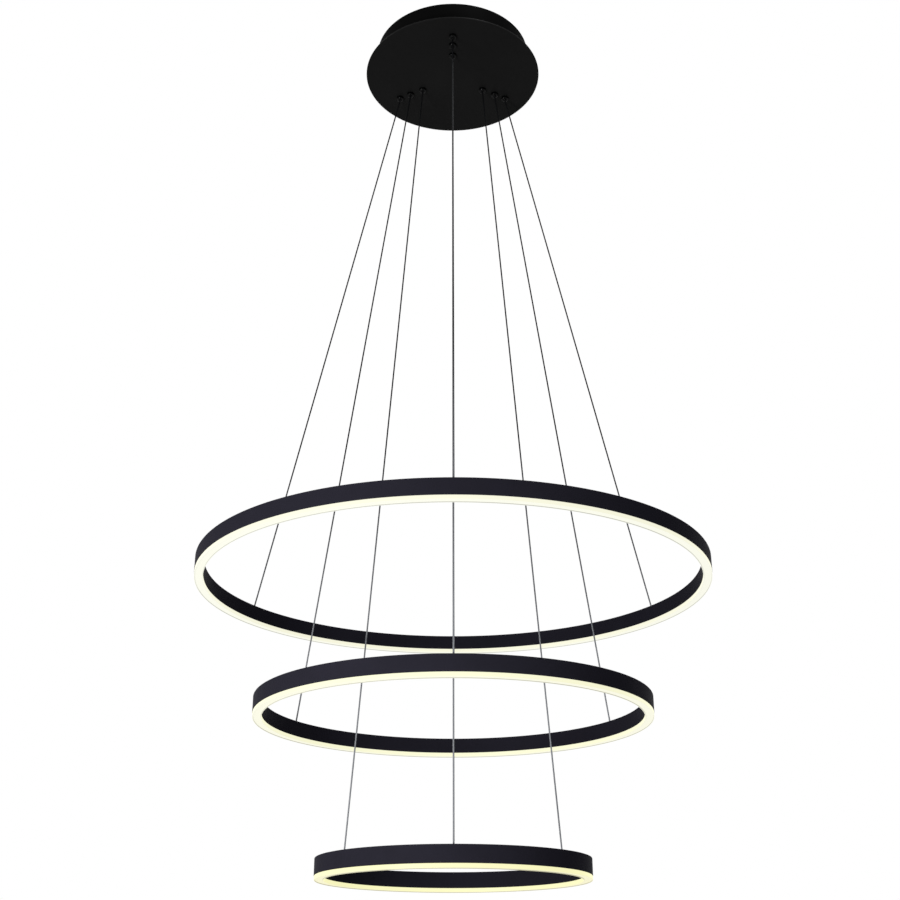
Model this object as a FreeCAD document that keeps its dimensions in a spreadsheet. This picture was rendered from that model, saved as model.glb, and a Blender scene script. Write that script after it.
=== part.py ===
import FreeCAD, Part
import math
import os
import Sketcher

# Ring chandelier: a ceiling canopy, three light rings, and three straight cables to each ring.
# Millimetres. The origin is the middle of the face that meets the ceiling, +Z points up,
# -Y is the front, and each ring hangs level with its centre under the origin.

doc = FreeCAD.newDocument("ring_chandelier")
cells = doc.addObject("Spreadsheet::Sheet", "cells")

driving_sizes = [
    ("drum_diameter", 280, "canopy drum, outside"),
    ("drum_height", 48, "ceiling face to plate"),
    ("drum_wall", 1.5, "canopy drum"),
    ("entry_bore", 20, "hole for the supply cable"),
    ("screw_circle", 200, "ceiling screws, pitch circle"),
    ("screw_hole", 5.5, "ceiling screws, clearance hole"),
    ("plate_diameter", 320, "canopy plate"),
    ("plate_thickness", 3, "canopy plate"),
    ("upper_diameter", 800, "upper ring, outside"),
    ("middle_diameter", 600, "middle ring, outside"),
    ("lower_diameter", 400, "lower ring, outside"),
    ("upper_drop", 1014, "ceiling face to the top of the upper ring"),
    ("middle_drop", 1221, "ceiling face to the top of the middle ring"),
    ("lower_drop", 1449, "ceiling face to the top of the lower ring"),
    ("upper_grip_radius", 115, "upper ring's cable grips from the centre"),
    ("middle_grip_radius", 92, "middle ring's cable grips from the centre"),
    ("lower_grip_radius", 65, "lower ring's cable grips from the centre"),
    ("profile_width", 14, "ring channel, radially"),
    ("profile_height", 24, "ring channel"),
    ("profile_wall", 1.2, "ring channel"),
    ("diffuser_proud", 6, "light bar below the channel"),
    ("diffuser_insert", 10, "light bar inside the channel"),
    ("fit_gap", 0.1, "light bar to channel wall, each side"),
    ("board_gap", 2.8, "light board to the channel's side walls"),
    ("board_thickness", 1.6, "one rigid light board"),
    ("board_room", 14, "room between boards, where a cable comes through"),
    ("cable_diameter", 2.5, "suspension cable"),
    ("hole_gap", 0.6, "cable to the sides of the square holes it runs through"),
    ("grip_diameter", 13, "cable grip, where it shows below the plate"),
    ("grip_proud", 7, "cable grip below the plate"),
    ("grip_width", 15, "cable grip above the plate, across flats"),
    ("grip_height", 18, "cable grip above the plate"),
    ("seat_gap", 0.1, "cable grip to its hole, radially"),
    ("cable_inside", 6, "cable inside its grip, along its lean"),
    ("ferrule_width", 5, "crimped cable end, across flats"),
    ("ferrule_length", 6, "crimped cable end"),
    ("end_gap", 0.3, "cable's cut ends to the ferrule and to the bottom of the grip's bore"),
    ("hook_radius", 104, "base hooks from the centre"),
    ("hook_width", 16, "base hooks and plate tabs"),
    ("hook_sheet", 2, "base hooks and plate tabs"),
    ("hook_reach", 8, "ledge of a hook, lip of a tab"),
    ("hook_foot", 10, "welded foot of a hook or a tab"),
    ("hook_gap", 0.5, "tab's upright to the hook's ledge"),
    ("tab_height", 22, "plate tab"),
    ("driver_length", 124, "driver housing"),
    ("driver_width", 46, "driver housing"),
    ("driver_height", 28, "driver housing"),
    ("driver_gap", 5, "driver to the base hook behind it"),
    ("driver_end", 10, "sloped end of the driver housing"),
    ("pad_thickness", 1.5, "foam pad under the driver"),
    ("pad_inset", 4, "foam pad inside the driver's edge"),
    ("terminal_length", 30, "terminal block"),
    ("terminal_width", 16, "terminal block"),
    ("terminal_height", 14, "terminal block"),
    ("terminal_port", 5, "wire entry in the terminal block, square"),
    ("terminal_gap", 6, "terminal block to the base hook behind it"),
]
rings = ("upper", "middle", "lower")
boards_per_bay = {"upper": 8, "middle": 6, "lower": 4}
sides = ("front", "right", "left")
bays = len(sides)
places = {side: 360 * turn / bays - 90 for turn, side in enumerate(sides)}
hidden_places = [azimuth + 180 for azimuth in places.values()]

for row, (alias, number, note) in enumerate(driving_sizes, 1):
    cells.set("A%d" % row, note)
    cells.set("B%d" % row, str(number))
    cells.setAlias("B%d" % row, alias)
doc.recompute()

nodes = []


def value(expression):
    return float(cells.evalExpression(expression))


def keep(thing, label):
    thing.Label = label
    nodes.append(thing)
    return thing


def place(thing, east="0", north="0", height="0", turn=0):
    thing.Placement = FreeCAD.Placement(
        FreeCAD.Vector(value(east), value(north), value(height)),
        FreeCAD.Rotation(FreeCAD.Vector(0, 0, 1), turn),
    )
    thing.setExpression("Placement.Base.x", east)
    thing.setExpression("Placement.Base.y", north)
    thing.setExpression("Placement.Base.z", height)
    return thing


def around(radius, azimuth):
    return "(%s) * cos(%g deg)" % (radius, azimuth), "(%s) * sin(%g deg)" % (radius, azimuth)


# ---- sketches and features of a body ----


def origin_feature(body, role):
    return [part for part in body.Origin.OriginFeatures if part.Role == role][0]


def new_sketch(body, name, role):
    sketch = body.newObject("Sketcher::SketchObject", name)
    sketch.AttachmentSupport = [(origin_feature(body, role), "")]
    sketch.MapMode = "FlatFace"
    return sketch


def hold_point(sketch, geometry, end, across, up):
    for kind, expression in (("DistanceX", across), ("DistanceY", up)):
        number = value(expression)
        rule = sketch.addConstraint(Sketcher.Constraint(kind, -1, 1, geometry, end, number))
        sketch.setExpression("Constraints[%d]" % rule, expression)


def draw_outline(sketch, corners):
    points = [FreeCAD.Vector(value(across), value(up), 0) for across, up in corners]
    count = len(points)
    lines = [
        sketch.addGeometry(Part.LineSegment(points[i], points[(i + 1) % count]), False)
        for i in range(count)
    ]
    for i in range(count):
        sketch.addConstraint(Sketcher.Constraint("Coincident", lines[i], 2, lines[(i + 1) % count], 1))
    for line, (across, up) in zip(lines, corners):
        hold_point(sketch, line, 1, across, up)


def draw_circle(sketch, across, up, radius):
    centre = FreeCAD.Vector(value(across), value(up), 0)
    circle = Part.Circle(centre, FreeCAD.Vector(0, 0, 1), value(radius))
    geometry = sketch.addGeometry(circle, False)
    hold_point(sketch, geometry, 3, across, up)
    rule = sketch.addConstraint(Sketcher.Constraint("Radius", geometry, value(radius)))
    sketch.setExpression("Constraints[%d]" % rule, radius)


def revolve(body, name, corners):
    sketch = new_sketch(body, name + "_outline", "XZ_Plane")
    draw_outline(sketch, corners)
    feature = body.newObject("PartDesign::Revolution", name)
    feature.Profile = sketch
    feature.ReferenceAxis = (sketch, ["V_Axis"])
    feature.Angle = 360
    doc.recompute()
    return feature


def pad(body, name, role, corners, length):
    sketch = new_sketch(body, name + "_outline", role)
    draw_outline(sketch, corners)
    feature = body.newObject("PartDesign::Pad", name)
    feature.Profile = sketch
    feature.setExpression("Length", length)
    doc.recompute()
    return feature


def pocket_down(body, name, sketch, depth):
    before = body.Shape.Volume
    feature = body.newObject("PartDesign::Pocket", name)
    feature.Profile = sketch
    feature.setExpression("Length", depth)
    doc.recompute()
    if body.Shape.Volume >= before:
        raise ValueError(name + " cuts nothing")
    return feature


def bore_down(body, name, circles, depth):
    sketch = new_sketch(body, name + "_outline", "XY_Plane")
    for across, up, radius in circles:
        draw_circle(sketch, across, up, radius)
    return pocket_down(body, name, sketch, depth)


def cut_down(body, name, corners, depth):
    sketch = new_sketch(body, name + "_outline", "XY_Plane")
    draw_outline(sketch, corners)
    return pocket_down(body, name, sketch, depth)


def repeat_around(body, name, features, count):
    pattern = body.newObject("PartDesign::PolarPattern", name)
    pattern.Originals = features
    pattern.Axis = (origin_feature(body, "Z_Axis"), [""])
    pattern.Angle = 360
    pattern.Occurrences = count
    body.Tip = pattern
    doc.recompute()
    return pattern


def new_body(label, height="0", turn=0):
    body = doc.addObject("PartDesign::Body", label)
    place(body, height=height, turn=turn)
    return keep(body, label)


# ---- solids made of primitives ----


def rod(name, radius, length, foot="0"):
    cylinder = doc.addObject("Part::Cylinder", name)
    cylinder.setExpression("Radius", radius)
    cylinder.setExpression("Height", length)
    return place(cylinder, height=foot)


def hexagon(name, width, length):
    prism = doc.addObject("Part::Prism", name)
    prism.Polygon = 6
    prism.setExpression("Circumradius", "%s / sqrt(3)" % width)
    prism.setExpression("Height", length)
    return prism


def block(name, length, width, height, west="0", south="0", foot="0"):
    box = doc.addObject("Part::Box", name)
    box.setExpression("Length", length)
    box.setExpression("Width", width)
    box.setExpression("Height", height)
    return place(box, west, south, foot)


def join(name, parts):
    fuse = doc.addObject("Part::MultiFuse", name)
    fuse.Shapes = parts
    return fuse


def cut(name, base, tool):
    difference = doc.addObject("Part::Cut", name)
    difference.Base = base
    difference.Tool = tool
    return difference


def group(label, solids):
    compound = doc.addObject("Part::Compound", label)
    compound.Links = solids
    return keep(compound, label)


# ---- the canopy ----


drum_radius = "cells.drum_diameter / 2"
drum_inside = "cells.drum_diameter / 2 - cells.drum_wall"


def make_canopy_base():
    # A spun cup, open downwards, its floor flat against the ceiling.
    body = new_body("canopy_base")
    floor = "-cells.drum_wall"
    rim = "-cells.drum_height"
    corners = [
        ("0", "0"),
        (drum_radius, "0"),
        (drum_radius, rim),
        (drum_inside, rim),
        (drum_inside, floor),
        ("0", floor),
    ]
    revolve(body, "cup", corners)
    east, north = around("cells.screw_circle / 2", hidden_places[0])
    bore_down(body, "entry", [("0", "0", "cells.entry_bore / 2")], "cells.drum_wall")
    hole = bore_down(body, "ceiling_hole", [(east, north, "cells.screw_hole / 2")], "cells.drum_wall")
    repeat_around(body, "ceiling_holes", [hole], bays)


def make_canopy_plate():
    # The wide flat plate that closes the cup and carries the cable grips.
    body = new_body("canopy_plate", height="-cells.drum_height")
    corners = [
        ("0", "0"),
        ("cells.plate_diameter / 2", "0"),
        ("cells.plate_diameter / 2", "-cells.plate_thickness"),
        ("0", "-cells.plate_thickness"),
    ]
    revolve(body, "disc", corners)
    circles = []
    for ring in rings:
        east, north = around("cells.%s_grip_radius" % ring, places["front"])
        circles.append((east, north, "cells.grip_diameter / 2 + cells.seat_gap"))
    seats = bore_down(body, "grip_seats", circles, "cells.plate_thickness")
    repeat_around(body, "all_grip_seats", [seats], bays)


def bent_sheet(label, corners):
    # One bent strip, its width across the radius, repeated round the axis.
    body = doc.addObject("PartDesign::Body", label)
    strip = pad(body, "strip", "XZ_Plane", corners, "cells.hook_width")
    strip.Midplane = True
    repeat_around(body, "strips", [strip], bays)
    place(body, turn=hidden_places[0])
    keep(body, label)


def make_hooks_and_tabs():
    # Tabs on the plate reach over the ledges of hooks under the cup's floor: lifted and given
    # a small turn, the plate hangs on them.
    sheet = "cells.hook_sheet"
    floor = "-cells.drum_wall"
    ledge = "-cells.drum_height + cells.tab_height - cells.hook_sheet"
    near = "cells.hook_radius"
    leaf = "cells.hook_radius + cells.hook_sheet"
    bent_sheet("base_hooks", [
        (near, floor),
        (near + " + cells.hook_foot", floor),
        (near + " + cells.hook_foot", "%s - %s" % (floor, sheet)),
        (leaf, "%s - %s" % (floor, sheet)),
        (leaf, ledge),
        (leaf + " + cells.hook_reach", ledge),
        (leaf + " + cells.hook_reach", "%s - %s" % (ledge, sheet)),
        (near, "%s - %s" % (ledge, sheet)),
    ])
    upright = leaf + " + cells.hook_reach + cells.hook_gap"
    plate = "-cells.drum_height"
    bent_sheet("plate_tabs", [
        (upright + " - cells.hook_reach", ledge),
        (upright + " - cells.hook_reach", "%s + %s" % (ledge, sheet)),
        (upright + " + cells.hook_sheet", "%s + %s" % (ledge, sheet)),
        (upright + " + cells.hook_sheet", "%s + %s" % (plate, sheet)),
        (upright + " + cells.hook_foot", "%s + %s" % (plate, sheet)),
        (upright + " + cells.hook_foot", plate),
        (upright, plate),
        (upright, ledge),
    ])


def make_driver():
    # A plastic housing with sloped ends, on a foam pad behind the centre.
    middle = "cells.hook_radius - cells.driver_gap - cells.driver_width / 2"
    foot = "-cells.drum_height + cells.pad_thickness"
    body = doc.addObject("PartDesign::Body", "led_driver")
    half = "cells.driver_length / 2"
    corners = [
        ("-" + half, "0"),
        (half, "0"),
        (half, "cells.driver_height / 2"),
        (half + " - cells.driver_end", "cells.driver_height"),
        ("-" + half + " + cells.driver_end", "cells.driver_height"),
        ("-" + half, "cells.driver_height / 2"),
    ]
    pad(body, "housing", "XZ_Plane", corners, "cells.driver_width")
    place(body, north=middle + " + cells.driver_width / 2", height=foot)
    keep(body, "led_driver")
    cushion = block(
        "driver_pad",
        "cells.driver_length - 2 * cells.pad_inset",
        "cells.driver_width - 2 * cells.pad_inset",
        "cells.pad_thickness",
        "cells.pad_inset - cells.driver_length / 2",
        middle + " - cells.driver_width / 2 + cells.pad_inset",
        "-cells.drum_height",
    )
    keep(cushion, "driver_pad")


def make_terminal_block():
    # A block with a stepped top and square wire entries, between two rows of grips.
    entries = 3
    west = "-cells.terminal_length / 2"
    south = "-cells.terminal_width / 2"
    body = block(
        "terminal_body",
        "cells.terminal_length", "cells.terminal_width", "cells.terminal_height",
        west, south,
    )
    step = block(
        "terminal_step",
        "cells.terminal_length", "cells.terminal_width / 3", "cells.terminal_height / 3",
        west, south, "cells.terminal_height * 2 / 3",
    )
    ports = []
    for entry in range(entries):
        along = "cells.terminal_length * %g" % ((entry + 0.5) / entries - 0.5)
        port = block(
            "terminal_port_%d" % entry,
            "cells.terminal_port", "cells.terminal_width / 2", "cells.terminal_port",
            along + " - cells.terminal_port / 2", south, "cells.terminal_height / 6",
        )
        ports.append(port)
    terminal = cut("terminal_block", body, join("terminal_cuts", [step] + ports))
    azimuth = (places["front"] + places["right"]) / 2
    middle = "cells.hook_radius - cells.terminal_gap - cells.terminal_width / 2"
    east, north = around(middle, azimuth)
    place(terminal, east, north, "-cells.drum_height", turn=azimuth - 90)
    keep(terminal, "terminal_block")


# ---- the cable grips ----


grip_foot = "-cells.drum_height - cells.plate_thickness - cells.grip_proud"


def cable_line(ring):
    # In the upright plane through the axis: where the cable leaves its grip, the middle of the
    # channel's hole, and the way from one to the other.
    mouth = FreeCAD.Vector(value("cells.%s_grip_radius" % ring), 0, value(grip_foot))
    hole = FreeCAD.Vector(
        value("cells.%s_diameter / 2 - cells.profile_width / 2" % ring), 0,
        value("-cells.%s_drop - cells.profile_wall / 2" % ring),
    )
    along = (hole - mouth).normalize()
    return mouth, hole, along


def make_grips():
    # Closed cable clamps dropped through the plate from above: a hexagonal body bears on the
    # plate, a round neck shows below it, and a blind square bore takes the leaning cable.
    width = value("cells.cable_diameter + 2 * cells.hole_gap")
    depth = value("cells.cable_inside + cells.end_gap")
    neck_length = "cells.grip_proud + cells.plate_thickness"
    grips = []
    for ring in rings:
        mouth, hole, along = cable_line(ring)
        tilt = FreeCAD.Rotation(FreeCAD.Vector(0, 0, 1), -along)
        corner = tilt.multVec(FreeCAD.Vector(-width / 2, -width / 2, -width))
        for side, azimuth in places.items():
            name = "%s_%s_grip" % (ring, side)
            neck = rod(name + "_neck", "cells.grip_diameter / 2", neck_length)
            head = hexagon(name + "_head", "cells.grip_width", "cells.grip_height")
            head.setExpression("Placement.Base.z", neck_length)
            bore = doc.addObject("Part::Box", name + "_bore")
            bore.Length = bore.Width = width
            bore.Height = depth + width
            bore.Placement = FreeCAD.Placement(corner, tilt)
            grip = cut(name, join(name + "_body", [neck, head]), bore)
            east, north = around("cells.%s_grip_radius" % ring, azimuth)
            grips.append(place(grip, east, north, grip_foot, azimuth))
    group("cable_grips", grips)


# ---- the rings ----


def make_channel(ring):
    # An extruded channel, open downwards, bent to a ring and welded shut.
    body = new_body(ring + "_channel", height="-cells.%s_drop" % ring)
    outer = "cells.%s_diameter / 2" % ring
    inner = outer + " - cells.profile_width"
    corners = [
        (inner, "0"),
        (outer, "0"),
        (outer, "-cells.profile_height"),
        (outer + " - cells.profile_wall", "-cells.profile_height"),
        (outer + " - cells.profile_wall", "-cells.profile_wall"),
        (inner + " + cells.profile_wall", "-cells.profile_wall"),
        (inner + " + cells.profile_wall", "-cells.profile_height"),
        (inner, "-cells.profile_height"),
    ]
    revolve(body, "profile", corners)
    middle = outer + " - cells.profile_width / 2"
    half = "(cells.cable_diameter / 2 + cells.hole_gap)"
    near = "-(%s - %s)" % (middle, half)
    far = "-(%s + %s)" % (middle, half)
    corners = [("-" + half, far), (half, far), (half, near), ("-" + half, near)]
    hole = cut_down(body, "cable_hole", corners, "cells.profile_wall")
    repeat_around(body, "cable_holes", [hole], bays)


def make_boards(ring):
    # Straight rigid boards under the channel's top, as a polygon with a gap at each cable.
    count = int(bays * boards_per_bay[ring])
    body = new_body(
        ring + "_led_boards", "-cells.%s_drop - cells.profile_wall" % ring, places["front"] + 180 / count
    )
    middle = "(cells.%s_diameter / 2 - cells.profile_width / 2)" % ring
    half = "(%s * sin(180 deg / %d) - cells.board_room / 2)" % (middle, count)
    centre = "%s - %s ^ 2 / (4 * %s)" % (middle, half, middle)
    half_width = "(cells.profile_width / 2 - cells.profile_wall - cells.board_gap)"
    near = "%s - %s" % (centre, half_width)
    far = "%s + %s" % (centre, half_width)
    corners = [(near, "-" + half), (far, "-" + half), (far, half), (near, half)]
    board = pad(body, "board", "XY_Plane", corners, "cells.board_thickness")
    board.Reversed = True
    repeat_around(body, "boards", [board], count)


def make_diffuser(ring):
    # A solid opal bar pressed into the channel; it stands proud and glows on three sides.
    body = new_body(ring + "_diffuser", height="-cells.%s_drop - cells.profile_height" % ring)
    outer = "cells.%s_diameter / 2 - cells.profile_wall - cells.fit_gap" % ring
    inner = "cells.%s_diameter / 2 - cells.profile_width + cells.profile_wall + cells.fit_gap" % ring
    corners = [
        (inner, "-cells.diffuser_proud"),
        (outer, "-cells.diffuser_proud"),
        (outer, "cells.diffuser_insert"),
        (inner, "cells.diffuser_insert"),
    ]
    revolve(body, "bar", corners)


# ---- the cables and their ends ----


def ferrule_start(ring):
    # Down the cable from the hole's middle, where the leaning ferrule's top clears the wall.
    mouth, hole, along = cable_line(ring)
    lean = math.acos(-along.z)
    corner_radius = value("cells.ferrule_width / sqrt(3)")
    clear = value("cells.profile_wall / 2") / math.cos(lean) + corner_radius * math.tan(lean)
    return hole + along * (clear + value("cells.end_gap"))


def make_cable(ring, side, azimuth):
    # Taut and straight from inside its grip to its ferrule.
    mouth, hole, along = cable_line(ring)
    start = mouth - along * value("cells.cable_inside")
    length = (ferrule_start(ring) - start).Length - value("cells.end_gap")
    radius = value("cells.cable_diameter / 2")
    name = "%s_%s_cable" % (ring, side)
    cable = doc.addObject("Part::Feature", name)
    cable.Shape = Part.makeCylinder(radius, length, start, along)
    cable.Placement = FreeCAD.Placement(
        FreeCAD.Vector(0, 0, 0), FreeCAD.Rotation(FreeCAD.Vector(0, 0, 1), azimuth)
    )
    keep(cable, name)
    share = cable.Shape.Volume / (math.pi * radius ** 2 * length)
    print("%s: length %.0f, volume share %.4f" % (name, length, share))


def make_ferrules(ring):
    # Hexagonal crimped ends, in line with their cables, that bear under the channel's top wall.
    mouth, hole, along = cable_line(ring)
    start = ferrule_start(ring)
    lean = math.degrees(math.acos(-along.z))
    ferrules = []
    for side, azimuth in places.items():
        prism = hexagon("%s_%s_ferrule" % (ring, side), "cells.ferrule_width", "cells.ferrule_length")
        tilt = FreeCAD.Rotation(FreeCAD.Vector(0, 1, 0), 180 - lean)
        spin = FreeCAD.Rotation(FreeCAD.Vector(0, 0, 1), azimuth)
        prism.Placement = FreeCAD.Placement(spin.multVec(start), spin.multiply(tilt))
        ferrules.append(prism)
    group(ring + "_cable_ferrules", ferrules)


make_canopy_base()
make_canopy_plate()
make_hooks_and_tabs()
make_driver()
make_terminal_block()
make_grips()
for ring in rings:
    make_channel(ring)
    make_boards(ring)
    make_diffuser(ring)
    make_ferrules(ring)
    for side, azimuth in places.items():
        make_cable(ring, side, azimuth)
doc.recompute()

for thing in doc.Objects:
    if "Invalid" in thing.State or "Error" in thing.State:
        raise ValueError("%s is %s" % (thing.Name, thing.State))
for node in nodes:
    if node.Shape.isNull() or not node.Shape.isValid():
        raise ValueError("%s has no valid shape" % node.Label)

os.makedirs("parts", exist_ok=True)
for node in nodes:
    node.Shape.exportStep("parts/%s.step" % node.Label)
print("%d nodes" % len(nodes))
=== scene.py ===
import math

import bpy
import numpy as np
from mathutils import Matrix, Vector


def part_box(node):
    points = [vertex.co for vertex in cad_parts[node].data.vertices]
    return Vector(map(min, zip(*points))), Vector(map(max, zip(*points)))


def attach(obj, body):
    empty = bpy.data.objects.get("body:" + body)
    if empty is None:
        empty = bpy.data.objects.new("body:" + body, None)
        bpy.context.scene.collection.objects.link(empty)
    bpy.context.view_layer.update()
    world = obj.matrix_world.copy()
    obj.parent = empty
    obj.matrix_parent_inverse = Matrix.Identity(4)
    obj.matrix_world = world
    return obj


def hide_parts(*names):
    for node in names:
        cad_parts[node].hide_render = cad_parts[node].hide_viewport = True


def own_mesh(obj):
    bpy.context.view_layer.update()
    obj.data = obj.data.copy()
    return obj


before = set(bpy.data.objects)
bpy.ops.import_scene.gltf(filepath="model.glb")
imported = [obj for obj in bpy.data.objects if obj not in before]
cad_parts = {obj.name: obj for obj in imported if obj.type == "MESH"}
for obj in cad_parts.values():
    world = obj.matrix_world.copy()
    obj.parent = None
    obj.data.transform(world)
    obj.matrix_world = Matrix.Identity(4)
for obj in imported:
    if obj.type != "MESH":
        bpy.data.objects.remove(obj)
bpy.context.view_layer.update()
mm = 0.001
print("frame loaded")

view = {
    "place": (-4.8 * mm, -1973.5 * mm, -1647.8 * mm),
    "pitchUp": 23.12,      # degrees above level
    "focalPixels": 1310,   # on a picture 900 pixels wide
    "pictureWidth": 900,
    "sensor": 36,
    "near": 0.05, "far": 100,
}
studio = {
    "ambient": 0.27,       # what diffuse surfaces see of the white room
    "aim": (0, 0, -1.05),
    "floorHeight": -2.3, "floorSize": 60,
    "floorGlow": 0.42,     # what the camera sees of it beyond its own light
    "floorDarker": (240, 240, 240), "floorLighter": (250, 250, 250),
    "floorCloud": 3, "floorRoughness": 0.9,
}
lamps = {
    "key": {"power": 10.8, "place": (-1.3, -1.6, -1.9), "size": 1.0, "spread": 90},
    "fill": {"power": 0.26, "place": (1.9, -2.2, -0.8), "size": 0.8, "spread": 90},
    "glint": {"power": 3, "place": (-0.9, -1.5, -2.0), "size": 0.3, "spread": 90},
    "top": {"power": 14, "place": (0.5, -0.6, 1.2), "size": 0.15, "spread": 180},
}
black = (0, 0, 0, 1)
white = (1, 1, 1, 1)

cameraData = bpy.data.cameras.new("camera")
cameraData.sensor_width = view["sensor"]
cameraData.lens = view["focalPixels"] / view["pictureWidth"] * view["sensor"]
cameraData.clip_start = view["near"]
cameraData.clip_end = view["far"]
camera = bpy.data.objects.new("camera", cameraData)
camera.location = view["place"]
camera.rotation_euler = (math.radians(90 + view["pitchUp"]), 0, 0)
bpy.context.scene.collection.objects.link(camera)
bpy.context.scene.camera = camera
bpy.context.scene.view_settings.view_transform = "Standard"


class Value:
    # a socket whose sums, products and powers with others add Math nodes
    def __init__(self, tree, socket):
        self.tree = tree
        self.socket = socket

    def maths(self, operation, *others):
        return addNode(self.tree, "ShaderNodeMath", {"operation": operation}, [self, *others])

    def __add__(self, other): return self.maths("ADD", other)
    __radd__ = __add__
    def __sub__(self, other): return self.maths("SUBTRACT", other)
    def __rsub__(self, other): return (self * -1) + other
    def __mul__(self, other): return self.maths("MULTIPLY", other)
    __rmul__ = __mul__
    def __truediv__(self, other): return self.maths("DIVIDE", other)
    def __pow__(self, other): return self.maths("POWER", other)


def linkTo(tree, source, target):
    if isinstance(source, Value):
        tree.links.new(source.socket, target)
    else:
        target.default_value = source


def addNode(tree, kind, settings, inputs, output=0):
    # inputs: a list in the sockets' order or a dictionary by name, of values or links
    node = tree.nodes.new(kind)
    for key, setting in settings.items():
        setattr(node, key, setting)
    pairs = inputs.items() if isinstance(inputs, dict) else enumerate(inputs)
    for key, source in pairs:
        linkTo(tree, source, node.inputs[key])
    return Value(tree, node.outputs[output])


def newMaterial(name):
    material = bpy.data.materials.new(name)
    material.use_nodes = True
    tree = material.node_tree
    shader = tree.nodes["Principled BSDF"]
    place = addNode(tree, "ShaderNodeTexCoord", {}, [], "Object")
    return material, tree, shader, place


def grain(tree, place, scale, detail=3, roughness=0.5):
    inputs = {"Vector": place, "Scale": scale, "Detail": detail, "Roughness": roughness}
    return addNode(tree, "ShaderNodeTexNoise", {"noise_dimensions": "3D"}, inputs, "Fac")


def linear(codes):
    # three sRGB codes, 0 to 255, as a colour in linear light, by sRGB's own curve
    part = np.array(codes) / 255
    light = np.where(part <= 0.04045, part / 12.92, ((part + 0.055) / 1.055) ** 2.4)
    return (*light.tolist(), 1.0)


def mixColours(tree, mask, first, second):
    # the first colour where the mask is 0, the second where it is 1
    inputs = {0: mask, 6: first, 7: second}
    return addNode(tree, "ShaderNodeMix", {"data_type": "RGBA"}, inputs, 2)


def mixCodes(tree, mask, first, second):
    # the same mix from two sets of sRGB codes
    return mixColours(tree, mask, linear(first), linear(second))


def roughen(tree, shader, height, distance, strength):
    inputs = {"Height": height, "Distance": distance, "Strength": strength}
    linkTo(tree, addNode(tree, "ShaderNodeBump", {}, inputs), shader.inputs["Normal"])


def fromAxis(tree, place):
    # distance from the upright axis, and how far a face looks away from it, -1 to 1
    facing = addNode(tree, "ShaderNodeNewGeometry", {}, [], "Normal")
    x, y = (addNode(tree, "ShaderNodeSeparateXYZ", {}, [place], axis) for axis in "XY")
    east, north = (addNode(tree, "ShaderNodeSeparateXYZ", {}, [facing], axis) for axis in "XY")
    radius = (x * x + y * y) ** 0.5
    return radius, (east * x + north * y) / radius, facing


middleGrain = 0.5          # what a grain swings about
powder = {
    "peelScale": 900, "peelDetail": 2, "peelDepth": 0.06 * mm, "peelStrength": 0.5,
    "driftScale": 9, "driftDetail": 2, "driftTone": 0.6, "driftSheen": 0.08,
    "hazeScale": 60, "hazeDetail": 5, "hazeRoughness": 0.6, "hazeTone": 0.4, "hazeSheen": 0.14,
}


def powderCoat(name, coat):
    # fine orange peel, a slow drift of the sheen and a thin haze; faces turned to the axis
    # get painted shade, darker by the coat's share for the inside
    material, tree, shader, place = newMaterial(name)
    peel = grain(tree, place, powder["peelScale"], powder["peelDetail"])
    drift = grain(tree, place, powder["driftScale"], powder["driftDetail"])
    haze = grain(tree, place, powder["hazeScale"], powder["hazeDetail"], powder["hazeRoughness"])
    tone = drift * powder["driftTone"] + haze * powder["hazeTone"]
    colour = mixCodes(tree, tone, coat["darker"], coat["lighter"])
    # painted shade: faces turned to the axis are mixed towards black
    if "inside" in coat:
        outward = fromAxis(tree, place)[1]
        insideShade = (outward * -coat["inside"]).maths("MAXIMUM", 0)
        colour = mixColours(tree, insideShade, colour, black)
    linkTo(tree, colour, shader.inputs["Base Color"])
    hazeSheen = (haze - middleGrain) * powder["hazeSheen"]
    driftSheen = (drift - middleGrain) * powder["driftSheen"]
    linkTo(tree, coat["roughness"] + hazeSheen + driftSheen, shader.inputs["Roughness"])
    shader.inputs["Specular IOR Level"].default_value = coat["gloss"]
    roughen(tree, shader, peel, powder["peelDepth"], powder["peelStrength"])
    return material


def openWorld():
    # white for the camera and in reflections, dimmer as a light on rough surfaces
    world = bpy.data.worlds.new("room")
    world.use_nodes = True
    bpy.context.scene.world = world
    tree = world.node_tree
    tree.nodes.clear()
    path = tree.nodes.new("ShaderNodeLightPath")
    direct = Value(tree, path.outputs["Is Camera Ray"])
    glossy = Value(tree, path.outputs["Is Glossy Ray"])
    through = Value(tree, path.outputs["Is Transmission Ray"])
    shown = direct.maths("MAXIMUM", glossy).maths("MAXIMUM", through)
    light = studio["ambient"] + shown * (1 - studio["ambient"])
    back = addNode(tree, "ShaderNodeBackground", {}, {"Color": white, "Strength": light})
    tree.links.new(back.socket, tree.nodes.new("ShaderNodeOutputWorld").inputs["Surface"])


def addLamp(name, facts):
    lamp = bpy.data.lights.new(name, "AREA")
    lamp.energy = facts["power"]
    lamp.shape = "DISK"
    lamp.size = facts["size"]
    lamp.spread = math.radians(facts["spread"])
    holder = bpy.data.objects.new(name, lamp)
    holder.location = facts["place"]
    way = np.array(studio["aim"]) - np.array(facts["place"])
    tilt = math.atan2(math.hypot(way[0], way[1]), -way[2])
    holder.rotation_euler = (tilt, 0, math.atan2(way[1], way[0]) - math.pi / 2)
    bpy.context.scene.collection.objects.link(holder)


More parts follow.
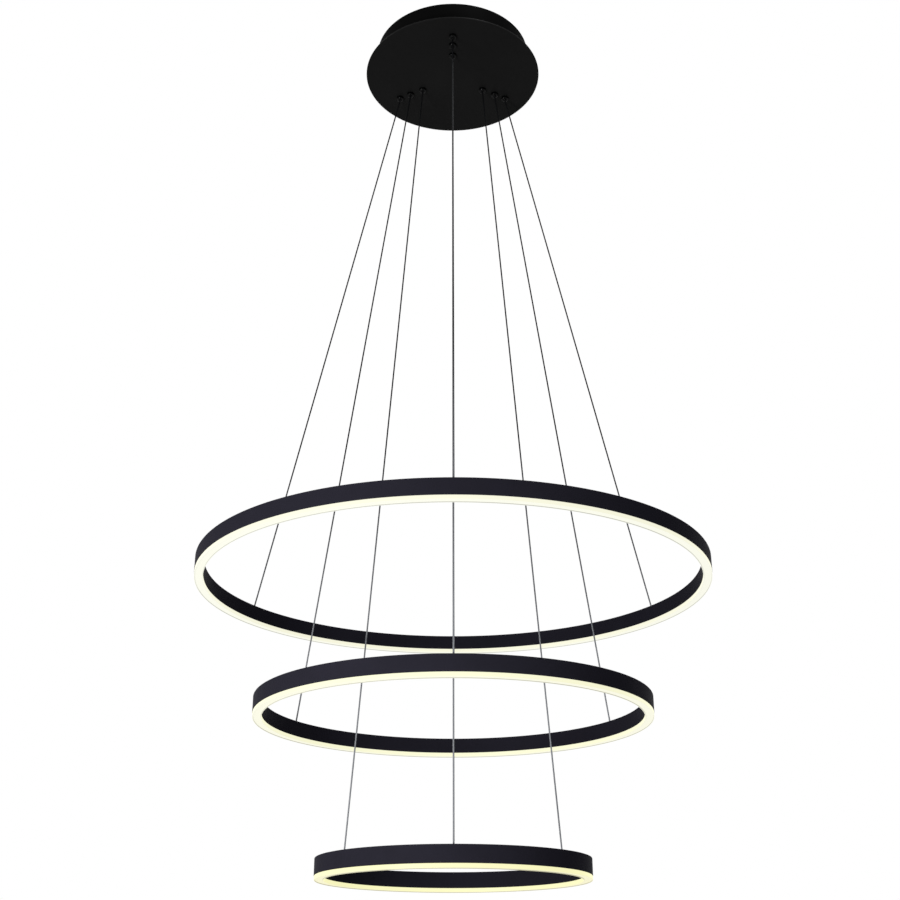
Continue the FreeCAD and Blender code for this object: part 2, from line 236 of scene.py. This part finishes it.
def layFloor():
    half = studio["floorSize"] / 2
    height = studio["floorHeight"]
    corners = [(-half, -half, height), (half, -half, height),
               (half, half, height), (-half, half, height)]
    mesh = bpy.data.meshes.new("floor")
    mesh.from_pydata(corners, [], [(0, 1, 2, 3)])
    floor = bpy.data.objects.new("floor", mesh)
    bpy.context.scene.collection.objects.link(floor)
    material, tree, shader, place = newMaterial("paleFloor")
    cloud = grain(tree, place, studio["floorCloud"])
    colour = mixCodes(tree, cloud, studio["floorDarker"], studio["floorLighter"])
    linkTo(tree, colour, shader.inputs["Base Color"])
    seen = addNode(tree, "ShaderNodeLightPath", {}, [], "Is Camera Ray")
    linkTo(tree, mixColours(tree, seen, black, white), shader.inputs["Emission Color"])
    shader.inputs["Emission Strength"].default_value = studio["floorGlow"]
    shader.inputs["Roughness"].default_value = studio["floorRoughness"]
    mesh.materials.append(material)


openWorld()
for name, facts in lamps.items():
    addLamp(name, facts)
layFloor()
print("camera, light and floor set")

shaping = {
    "arcPoints": 5,        # on each rounded edge
    "guard": 1.3,          # where an edge's guard points stand, in lengths of its rounding
    "drillSides": 48, "drillBeyond": 1 * mm,
    "sharpFrom": 32,       # degrees
}


def gridMesh(name, points, closed):
    # points[copy, i, j]: a quad for each cell, joined round i. A closed outline is joined
    # along j too; an open one ends in a flat face at its first and at its last j.
    points = points.reshape(-1, *points.shape[-3:])
    copies, rows, columns = points.shape[:3]
    across = np.arange(columns if closed else columns - 1)
    i, j = np.meshgrid(np.arange(rows), across, indexing="ij")
    nextI = (i + 1) % rows * columns
    nextJ = (j + 1) % columns
    i = i * columns
    quads = np.stack([i + j, nextI + j, nextI + nextJ, i + nextJ], -1)
    first = np.arange(copies)[:, None] * rows * columns
    faces = (first[:, :, None] + quads.reshape(-1, 4)).reshape(-1, 4).tolist()
    if not closed:
        loops = first + np.arange(rows) * columns
        faces += loops[:, ::-1].tolist() + (loops + columns - 1).tolist()
    mesh = bpy.data.meshes.new(name)
    mesh.from_pydata(points.reshape(-1, 3), [], faces)
    return mesh


def roundedLine(corners, radii, closed=True):
    # each corner becomes an arc that meets both its sides: its centre is on the corner's
    # bisector, at the radius over the sine of half the angle. One guard point before and one
    # after each arc keep the shading of the flats flat.
    corners = np.array(corners, float)
    radii = np.broadcast_to(np.array(radii, float), len(corners))[:, None]
    back = np.roll(corners, 1, 0) - corners
    ahead = np.roll(corners, -1, 0) - corners
    back /= np.linalg.norm(back, axis=1, keepdims=True)
    ahead /= np.linalg.norm(ahead, axis=1, keepdims=True)
    half = np.arccos(np.clip((back * ahead).sum(1, keepdims=True), -1, 1)) / 2
    reach = radii / np.tan(half)
    inward = back + ahead
    inward /= np.linalg.norm(inward, axis=1, keepdims=True)
    centre = corners + inward * radii / np.sin(half)
    first = (corners + back * reach - centre)[:, None]
    last = (corners + ahead * reach - centre)[:, None]
    sweep = (math.pi - 2 * half)[:, :, None]
    part = np.linspace(0, 1, shaping["arcPoints"])[None, :, None]
    arc = (np.sin((1 - part) * sweep) * first + np.sin(part * sweep) * last) / np.sin(sweep)
    before = (corners + back * reach * shaping["guard"])[:, None]
    after = (corners + ahead * reach * shaping["guard"])[:, None]
    rows = np.concatenate([before, centre[:, None] + arc, after], 1)
    if closed:
        return rows.reshape(-1, 2)
    return np.vstack([corners[:1], rows[1:-1].reshape(-1, 2), corners[-1:]])


def turned(outline, segments, centre=(0, 0), start=0.0, stretch=1.0):
    # the outline's (radius, height) points carried round an upright axis: x and y are the
    # radius times the cosine and the sine of the angle
    angle = start + np.linspace(0, 2 * np.pi, segments, endpoint=False)[:, None]
    radius = outline[None, :, 0] * stretch
    height = outline[None, :, 1] + 0 * angle
    x = centre[0] + radius * np.cos(angle)
    y = centre[1] + radius * np.sin(angle)
    return np.stack([x, y, height], -1)


def addPiece(name, mesh, material, node, body):
    # a smooth piece in its material, in the place of the solid of that node
    mesh.polygons.foreach_set("use_smooth", np.ones(len(mesh.polygons), bool))
    mesh.materials.append(material)
    piece = bpy.data.objects.new(name, mesh)
    bpy.context.scene.collection.objects.link(piece)
    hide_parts(node)
    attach(piece, body)
    return piece


def drill(piece, holes, low, high):
    # a round hole through the piece for each (x, y, radius), all cut at once
    drills = [turned(np.array([(radius, low), (radius, high)]), shaping["drillSides"], (x, y))
              for x, y, radius in holes]
    cutter = bpy.data.objects.new("drills", gridMesh("drills", np.stack(drills), closed=False))
    bpy.context.scene.collection.objects.link(cutter)
    modifier = piece.modifiers.new("holes", "BOOLEAN")
    modifier.object = cutter
    modifier.solver = "EXACT"
    bpy.context.view_layer.update()
    shown = piece.evaluated_get(bpy.context.evaluated_depsgraph_get())
    piece.data = bpy.data.meshes.new_from_object(shown)
    piece.modifiers.clear()
    bpy.data.objects.remove(cutter)


def sharpEdges(piece):
    piece.data.set_sharp_from_angle(angle=math.radians(shaping["sharpFrom"]))


sides = ("front", "right", "left")
frontAzimuth, thirdTurn = -90, 120     # degrees
azimuths = {side: math.radians(thirdTurn * turn + frontAzimuth)
            for turn, side in enumerate(sides)}
ringNames = ("upper", "middle", "lower")

channel = {
    "width": 14 * mm, "wall": 1.2 * mm, "edge": 0.35 * mm, "topEdge": 0.7 * mm,
    "segments": 720, "holeRadius": 1.9 * mm,
    # inside: the share of painted shade on the faces turned to the ring's axis
    "coat": {"darker": (29, 28, 34), "lighter": (38, 37, 46), "gloss": 0.004, "roughness": 0.5,
             "inside": 0.3},
}


def ringFacts(ring):
    # the radii of the ring's outside and middle line, and the heights of its two pieces
    low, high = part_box(ring + "_channel")
    barLow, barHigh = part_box(ring + "_diffuser")
    return {"outer": high[1], "middle": high[1] - channel["width"] / 2,
            "top": high[2], "rim": low[2], "barLow": barLow[2], "barHigh": barHigh[2]}


cable = {
    "diameter": 2.5 * mm,
    "inGrip": 6 * mm,          # cable inside its grip
    "gripMouth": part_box("cable_grips")[0][2],
    "gripRadius": {"upper": 115 * mm, "middle": 92 * mm, "lower": 65 * mm},
    "raise": 0.45,             # a ring's travel
    "strands": 12, "perStrand": 2,
    "valley": 0.92,            # of the radius, between two strands
    "lay": 20 * mm,            # one turn of a strand
    "step": 1.6 * mm, "smoothness": 12,
    "shadeTo": 0.75,            # depth below the ceiling where the painted shade on the cable starts to thin
    "fade": 0.4,               # and how much deeper the painted shade has faded out
    # the upper tones are painted shade near the canopy; the lower ones are the steel's own
    "upperShade": ((18, 18, 20), (28, 29, 31)), "lowerSteel": ((112, 114, 118), (134, 136, 140)),
    "drawnScale": 420, "drawnDepth": 0.03 * mm, "drawnStrength": 0.4,
    "toneScale": 35, "toneDetail": 4, "toneRoughness": 0.6,
    "roughness": 0.4, "roughnessMore": 0.2, "metallic": 0.3, "gloss": 0.04,
}


def shadedWire():
    # drawn steel strands with painted shade: darker near the canopy, lighter towards the rings
    material, tree, shader, place = newMaterial("shadedWire")
    drawn = grain(tree, place, cable["drawnScale"])
    tone = grain(tree, place, cable["toneScale"], cable["toneDetail"], cable["toneRoughness"])
    height = addNode(tree, "ShaderNodeSeparateXYZ", {}, [place], "Z")
    depth = (height * -1 - cable["shadeTo"]) / cable["fade"]
    depth = depth.maths("MAXIMUM", 0).maths("MINIMUM", 1)
    # painted shade on the upper cable, plain steel lower down
    upperShade = mixCodes(tree, tone, *cable["upperShade"])
    lowerSteel = mixCodes(tree, tone, *cable["lowerSteel"])
    linkTo(tree, mixColours(tree, depth, upperShade, lowerSteel), shader.inputs["Base Color"])
    linkTo(tree, cable["roughness"] + drawn * cable["roughnessMore"], shader.inputs["Roughness"])
    shader.inputs["Metallic"].default_value = cable["metallic"]
    shader.inputs["Specular IOR Level"].default_value = cable["gloss"]
    roughen(tree, shader, drawn, cable["drawnDepth"], cable["drawnStrength"])
    return material


def routePoints(name, controls):
    # the route's own smooth line, read from a NURBS spline through Blender
    curve = bpy.data.curves.new(name, "CURVE")
    curve.dimensions = "3D"
    curve.resolution_u = cable["smoothness"]
    spline = curve.splines.new("NURBS")
    spline.points.add(len(controls) - 1)
    spline.points.foreach_set("co", np.c_[controls, np.ones(len(controls))].ravel())
    spline.order_u = 3
    spline.use_endpoint_u = True
    holder = bpy.data.objects.new(name, curve)
    mesh = bpy.data.meshes.new_from_object(holder)
    points = np.empty(len(mesh.vertices) * 3)
    mesh.vertices.foreach_get("co", points)
    bpy.data.objects.remove(holder)
    return points.reshape(-1, 3)


def wireSection(turn):
    # round strands side by side in a ring: the outline's distance from the middle by angle.
    # A strand's radius is the cable's times s over 1 + s, with s the sine of half a pitch.
    radius = cable["diameter"] / 2
    share = np.sin(np.pi / cable["strands"])
    strand = radius * share / (1 + share)
    reach = radius - strand
    pitch = 2 * np.pi / cable["strands"]
    off = (turn + pitch / 2) % pitch - pitch / 2
    inside = np.maximum(strand ** 2 - (reach * np.sin(off)) ** 2, 0)
    return np.maximum(reach * np.cos(off) + np.sqrt(inside), radius * cable["valley"])


def wirePoints(line, run, along):
    # the stranded section carried along the line, turning once in each lay; run is the
    # length up to each point of the line
    stations = np.linspace(0, run[-1], int(run[-1] / cable["step"]))
    centre = np.stack([np.interp(stations, run, line[:, axis]) for axis in range(3)], -1)
    sideways = np.cross(along, (0, 0, 1))
    sideways /= np.linalg.norm(sideways)
    other = np.cross(along, sideways)
    count = cable["strands"] * cable["perStrand"]
    turn = np.linspace(0, 2 * np.pi, count, endpoint=False)[:, None]
    spin = turn + 2 * np.pi * stations / cable["lay"]
    spoke = np.cos(spin)[:, :, None] * sideways + np.sin(spin)[:, :, None] * other
    return centre + wireSection(turn)[:, :, None] * spoke


def layCable(ring, side, material):
    # straight from inside its grip, through the mouth, to the hole in the ring's top and on
    # to the depth of its solid's lower end
    facts = ringFacts(ring)
    azimuth = azimuths[side]
    outward = np.array([math.cos(azimuth), math.sin(azimuth), 0])
    up = np.array([0, 0, 1])
    mouth = outward * cable["gripRadius"][ring] + up * cable["gripMouth"]
    hole = outward * facts["middle"] + up * (facts["top"] - channel["wall"] / 2)
    along = (hole - mouth) / np.linalg.norm(hole - mouth)
    node = "%s_%s_cable" % (ring, side)
    reach = (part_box(node)[0][2] - mouth[2]) / along[2]
    controls = np.array([mouth - along * cable["inGrip"], mouth, mouth + along * reach])
    name = ring + side.capitalize() + "Cable"
    line = routePoints(name, controls)
    run = np.r_[0, np.cumsum(np.linalg.norm(np.diff(line, axis=0), axis=1))]
    mesh = gridMesh(name, wirePoints(line, run, along), closed=False)
    piece = addPiece(name, mesh, material, node, "canopy")
    # the share of its drop from the mouth to the hole that the ring's travel would leave is
    # worked out here but not used
    drop = mouth[2] - hole[2]
    (drop - cable["raise"]) / drop
    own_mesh(piece)


wire = shadedWire()
for ring in ringNames:
    for side in sides:
        layCable(ring, side, wire)
print("cables laid")

lightBar = {
    "capWidth": 13.4 * mm, "gap": 0.1 * mm, "seat": 0.25 * mm,
    "footEdge": 0.3 * mm, "neck": 0.1 * mm, "capEdge": 0.25 * mm, "corner": 0.5 * mm,
    "lip": 1.1 * mm, "lipEdge": 0.25 * mm, "recess": 1.1 * mm,
    "strength": 0.9,
    "side": {"upper": (247, 246, 221), "middle": (249, 248, 211), "lower": (251, 248, 190)},
    "under": {"upper": (250, 250, 236), "middle": (249, 248, 228), "lower": (246, 242, 204)},
    # rim: the glow of the hollow's walls, greyer as painted shade
    "rim": {"upper": (176, 177, 170), "middle": (178, 177, 163), "lower": (176, 172, 148)},
    "base": ((0.10, 0.10, 0.085, 1), (0.13, 0.13, 0.11, 1)),
    "roughness": 0.38, "roughnessMore": 0.1, "gloss": 0.2,
    "cloudScale": 25, "cloudDepth": 0.03 * mm, "cloudStrength": 0.3,
}


def glowingOpal(ring, middle):
    # lit from inside: yellower on the sides, whiter below, and greyer on the faces that the
    # lower lips turn to the bar's middle, a painted shade in the hollow
    material, tree, shader, place = newMaterial(ring + "Opal")
    cloud = grain(tree, place, lightBar["cloudScale"])
    radius, outward, facing = fromAxis(tree, place)
    up = addNode(tree, "ShaderNodeSeparateXYZ", {}, [facing], "Z")
    below = (up * -1).maths("MAXIMUM", 0)
    # painted shade on the walls of the hollow between the lips
    hollowShade = (outward * (radius - middle).maths("SIGN") * -1).maths("MAXIMUM", 0)
    glow = mixCodes(tree, below, lightBar["side"][ring], lightBar["under"][ring])
    glow = mixColours(tree, hollowShade, glow, linear(lightBar["rim"][ring]))
    linkTo(tree, glow, shader.inputs["Emission Color"])
    shader.inputs["Emission Strength"].default_value = lightBar["strength"]
    linkTo(tree, mixColours(tree, cloud, *lightBar["base"]), shader.inputs["Base Color"])
    roughness = lightBar["roughness"] + cloud * lightBar["roughnessMore"]
    linkTo(tree, roughness, shader.inputs["Roughness"])
    shader.inputs["Specular IOR Level"].default_value = lightBar["gloss"]
    roughen(tree, shader, cloud, lightBar["cloudDepth"], lightBar["cloudStrength"])
    return material


def makeChannel(ring, facts, coat):
    # down the inner wall and up inside it, across under the top, down inside the outer wall
    # and up it, turned all round
    outer, middle, top, rim = facts["outer"], facts["middle"], facts["top"], facts["rim"]
    inner, wall = outer - channel["width"], channel["wall"]
    corners = [(inner, top), (inner, rim), (inner + wall, rim), (inner + wall, top - wall),
               (outer - wall, top - wall), (outer - wall, rim), (outer, rim), (outer, top)]
    edge, topEdge = channel["edge"], channel["topEdge"]
    outline = roundedLine(corners, [topEdge, edge, edge, edge, edge, edge, edge, topEdge])
    mesh = gridMesh(ring + "Channel", turned(outline, channel["segments"]), closed=True)
    piece = addPiece(ring + "Channel", mesh, coat, ring + "_channel", ring + "_ring")
    holes = [(middle * math.cos(a), middle * math.sin(a), channel["holeRadius"])
             for a in azimuths.values()]
    drill(piece, holes, top - wall * 2, top + wall)
    sharpEdges(piece)


def makeLightBar(ring, facts):
    # the foot stands in the channel, the wider cap covers the channel's edges, and a shallow
    # hollow runs along the underside between two lips
    middle, low, high = facts["middle"], facts["barLow"], facts["barHigh"]
    cap = lightBar["capWidth"] / 2
    foot = channel["width"] / 2 - channel["wall"] - lightBar["gap"]
    lip = cap - lightBar["lip"]
    under, hollow = facts["rim"] - lightBar["seat"], low + lightBar["recess"]
    half = [(foot, high), (foot, under), (cap, under), (cap, low), (lip, low), (lip, hollow)]
    edges = ("footEdge", "neck", "capEdge", "corner", "lipEdge", "lipEdge")
    radii = [lightBar[edge] for edge in edges]
    corners = [(middle - across, height) for across, height in half]
    corners += [(middle + across, height) for across, height in reversed(half)]
    outline = roundedLine(corners, radii + radii[::-1])
    mesh = gridMesh(ring + "LightBar", turned(outline, channel["segments"]), closed=True)
    opal = glowingOpal(ring, middle)
    bar = addPiece(ring + "LightBar", mesh, opal, ring + "_diffuser", ring + "_ring")
    sharpEdges(bar)


ringCoat = powderCoat("ringCoat", channel["coat"])
for ring in ringNames:
    facts = ringFacts(ring)
    makeChannel(ring, facts, ringCoat)
    makeLightBar(ring, facts)
print("rings made")

canopy = {
    "wall": 1.5 * mm, "drumEdge": 1.6 * mm, "rimEdge": 0.3 * mm, "plateEdge": 0.7 * mm,
    "segments": 720,
    "flat": 8 * mm,        # width of the outer band of each flat face
    "entry": 10 * mm, "screwHole": 2.75 * mm, "screwCircle": 100 * mm,
    # the drum and the plate wear one black coat: the drum's darker tones are painted shade, the
    # plate's lighter ones painted light
    "drumShadedCoat": {"darker": (10, 10, 10), "lighter": (15, 15, 15), "gloss": 0.004, "roughness": 0.5},
    "plateLitCoat": {"darker": (21, 21, 21), "lighter": (30, 30, 30), "gloss": 0.03, "roughness": 0.4},
}
grip = {
    "radius": 6.5 * mm, "seatGap": 0.1 * mm, "shoulder": 1.3 * mm,
    "nozzle": 2.7 * mm, "nozzleDrop": 1.6 * mm, "nozzleEdge": 0.4 * mm,
    "nozzleFlare": 0.3 * mm, "flareEdge": 0.3 * mm,
    "mouth": 1.75 * mm, "mouthEdge": 0.15 * mm,
    "pocket": 3.3 * mm, "pocketDepth": 6.8 * mm, "pocketFloor": 0.8 * mm,
    "head": 7.45 * mm, "headEdge": 0.8 * mm, "headBeyond": 0.3 * mm, "cornerCount": 6,
    "soft": 0.2 * mm, "crisp": 0.1 * mm,   # the other edges
    "segments": 96,
    "coat": {"darker": (4, 4, 5), "lighter": (8, 8, 9), "gloss": 0.2, "roughness": 0.2},
}


def makeDrum(coat):
    # a cup: out along the underside of its floor, down inside the wall, round the rim and up
    # outside it to the face at the ceiling
    low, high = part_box("canopy_base")
    outer, wall, flat = high[1], canopy["wall"], canopy["flat"]
    ceiling, floor = high[2], high[2] - canopy["wall"]
    corners = [(outer - flat, floor), (outer - wall, floor), (outer - wall, low[2]),
               (outer, low[2]), (outer, ceiling), (outer - flat, ceiling)]
    rim = canopy["rimEdge"]
    outline = roundedLine(corners, [rim, rim, rim, rim, canopy["drumEdge"], rim], closed=False)
    mesh = gridMesh("canopyDrum", turned(outline, canopy["segments"]), closed=False)
    drum = addPiece("canopyDrum", mesh, coat, "canopy_base", "canopy")
    circle = canopy["screwCircle"]
    holes = [(0, 0, canopy["entry"])]
    holes += [(-circle * math.cos(a), -circle * math.sin(a), canopy["screwHole"])
              for a in azimuths.values()]
    drill(drum, holes, floor - wall, ceiling + wall)
    sharpEdges(drum)


def gripPlaces():
    # x, y and azimuth of each grip: three on a circle for each ring
    return [(radius * math.cos(a), radius * math.sin(a), a)
            for radius in cable["gripRadius"].values() for a in azimuths.values()]


def makePlate(coat):
    # a disc: its two flat faces' outer bands and the rounded edge between them
    low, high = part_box("canopy_plate")
    outer, flat = high[1], canopy["flat"]
    corners = [(outer - flat, low[2]), (outer, low[2]), (outer, high[2]), (outer - flat, high[2])]
    outline = roundedLine(corners, canopy["plateEdge"], closed=False)
    mesh = gridMesh("canopyPlate", turned(outline, canopy["segments"]), closed=False)
    plate = addPiece("canopyPlate", mesh, coat, "canopy_plate", "canopy")
    seat = grip["radius"] + grip["seatGap"]
    beyond = shaping["drillBeyond"]
    drill(plate, [(x, y, seat) for x, y, turn in gripPlaces()], low[2] - beyond, high[2] + beyond)
    sharpEdges(plate)


def makeGrips(coat):
    # one outline turned: the cable's pocket, the nozzle, a rounded neck through the plate and
    # a head above it, whose radius follows a hexagon: its half width over the cosine of the
    # angle from the middle of the side
    low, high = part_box("cable_grips")
    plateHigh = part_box("canopy_plate")[1][2]
    mouth, top = low[2], high[2]
    drop = mouth + grip["nozzleDrop"]
    pocketTop, pocketFloor = mouth + grip["pocketDepth"], drop + grip["pocketFloor"]
    corners = np.array([
        # radius, height, rounding of the edge
        (grip["mouth"], pocketTop, grip["crisp"]),
        (grip["pocket"], pocketTop, grip["soft"]),
        (grip["pocket"], pocketFloor, grip["soft"]),
        (grip["mouth"], mouth, grip["mouthEdge"]),
        (grip["nozzle"], mouth, grip["nozzleEdge"]),
        (grip["nozzle"] + grip["nozzleFlare"], drop, grip["flareEdge"]),
        (grip["radius"], drop, grip["shoulder"]),
        (grip["radius"], plateHigh, grip["crisp"]),
        (grip["head"], plateHigh, grip["soft"]),
        (grip["head"], top, grip["headEdge"]),
        (grip["head"] / 2, top, grip["crisp"]),
    ])
    outline = roundedLine(corners[:, :2], corners[:, 2], closed=False)
    step = 2 * math.pi / grip["cornerCount"]
    turn = np.linspace(0, 2 * np.pi, grip["segments"], endpoint=False)[:, None]
    wide = outline[:, 0] > grip["radius"] + grip["headBeyond"]
    isHead = (outline[:, 1] >= plateHigh) & wide
    stretch = np.where(isHead, 1 / np.cos(turn % step - step / 2), 1)
    shapes = [turned(outline, grip["segments"], (x, y), start, stretch)
              for x, y, start in gripPlaces()]
    mesh = gridMesh("cableGrips", np.stack(shapes), closed=False)
    piece = addPiece("cableGrips", mesh, coat, "cable_grips", "canopy")
    sharpEdges(piece)


makeDrum(powderCoat("drumShadedCoat", canopy["drumShadedCoat"]))
makePlate(powderCoat("plateLitCoat", canopy["plateLitCoat"]))
makeGrips(powderCoat("gripCoat", grip["coat"]))
print("canopy made")

plain = {
    "zincPlate": {"darker": (150, 154, 160), "lighter": (196, 199, 204), "scale": 240,
                  "roughness": 0.32, "metallic": 0.95, "bump": 0.05 * mm},
    "crimpedSteel": {"darker": (140, 142, 146), "lighter": (180, 182, 186), "scale": 500,
                     "roughness": 0.35, "metallic": 0.9, "bump": 0.05 * mm},
    "driverHousing": {"darker": (214, 214, 210), "lighter": (230, 230, 226), "scale": 700,
                      "roughness": 0.5, "metallic": 0, "bump": 0.1 * mm},
    "terminalMoulding": {"darker": (206, 205, 198), "lighter": (222, 221, 214), "scale": 500,
                         "roughness": 0.4, "metallic": 0, "bump": 0.05 * mm},
}
plainGrain = {
    "fineDetail": 4, "fineRoughness": 0.6, "slowScale": 14, "slowDetail": 2,
    "share": 0.5,          # of each in the tone
    "sheen": 0.16, "strength": 0.5,
}
foam = {
    "scale": 900, "darker": (52, 52, 52), "lighter": (92, 92, 92),
    "roughness": 0.8, "roughnessMore": 0.15, "depth": 0.3 * mm, "strength": 0.8,
}
lightBoard = {
    "scale": 200, "detail": 2, "darker": (222, 222, 214), "lighter": (240, 240, 232),
    "roughness": 0.35, "roughnessMore": 0.1,
    "glow": ((120, 110, 80), (150, 140, 110)), "strength": 0.5,
}


def plainFinish(name):
    # a slow and a fine grain vary the tone, and the fine one also the sheen and the surface
    look = plain[name]
    material, tree, shader, place = newMaterial(name)
    fine = grain(tree, place, look["scale"], plainGrain["fineDetail"], plainGrain["fineRoughness"])
    slow = grain(tree, place, plainGrain["slowScale"], plainGrain["slowDetail"])
    tone = slow * plainGrain["share"] + fine * plainGrain["share"]
    linkTo(tree, mixCodes(tree, tone, look["darker"], look["lighter"]), shader.inputs["Base Color"])
    sheen = (fine - middleGrain) * plainGrain["sheen"]
    linkTo(tree, look["roughness"] + sheen, shader.inputs["Roughness"])
    shader.inputs["Metallic"].default_value = look["metallic"]
    roughen(tree, shader, fine, look["bump"], plainGrain["strength"])
    return material


def foamFinish():
    # small cells, each darker and deeper at its middle
    material, tree, shader, place = newMaterial("foam")
    inputs = {"Vector": place, "Scale": foam["scale"]}
    cells = addNode(tree, "ShaderNodeTexVoronoi", {"feature": "F1"}, inputs, "Distance")
    linkTo(tree, mixCodes(tree, cells, foam["darker"], foam["lighter"]), shader.inputs["Base Color"])
    linkTo(tree, foam["roughness"] + cells * foam["roughnessMore"], shader.inputs["Roughness"])
    roughen(tree, shader, cells, foam["depth"], foam["strength"])
    return material


def boardFinish():
    # white solder mask with the chips' warm light on it
    look = lightBoard
    material, tree, shader, place = newMaterial("lightBoard")
    mask = grain(tree, place, look["scale"], look["detail"])
    linkTo(tree, mixCodes(tree, mask, look["darker"], look["lighter"]), shader.inputs["Base Color"])
    linkTo(tree, look["roughness"] + mask * look["roughnessMore"], shader.inputs["Roughness"])
    linkTo(tree, mixCodes(tree, mask, *look["glow"]), shader.inputs["Emission Color"])
    shader.inputs["Emission Strength"].default_value = look["strength"]
    return material


zinc = plainFinish("zincPlate")
crimp = plainFinish("crimpedSteel")
board = boardFinish()
finishes = {
    "base_hooks": zinc, "plate_tabs": zinc, "led_driver": plainFinish("driverHousing"),
    "driver_pad": foamFinish(), "terminal_block": plainFinish("terminalMoulding"),
}
for ring in ringNames:
    finishes[ring + "_led_boards"] = board
    finishes[ring + "_cable_ferrules"] = crimp
for node, material in finishes.items():
    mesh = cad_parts[node].data
    mesh.materials.clear()
    mesh.materials.append(material)
print("inner pieces finished")
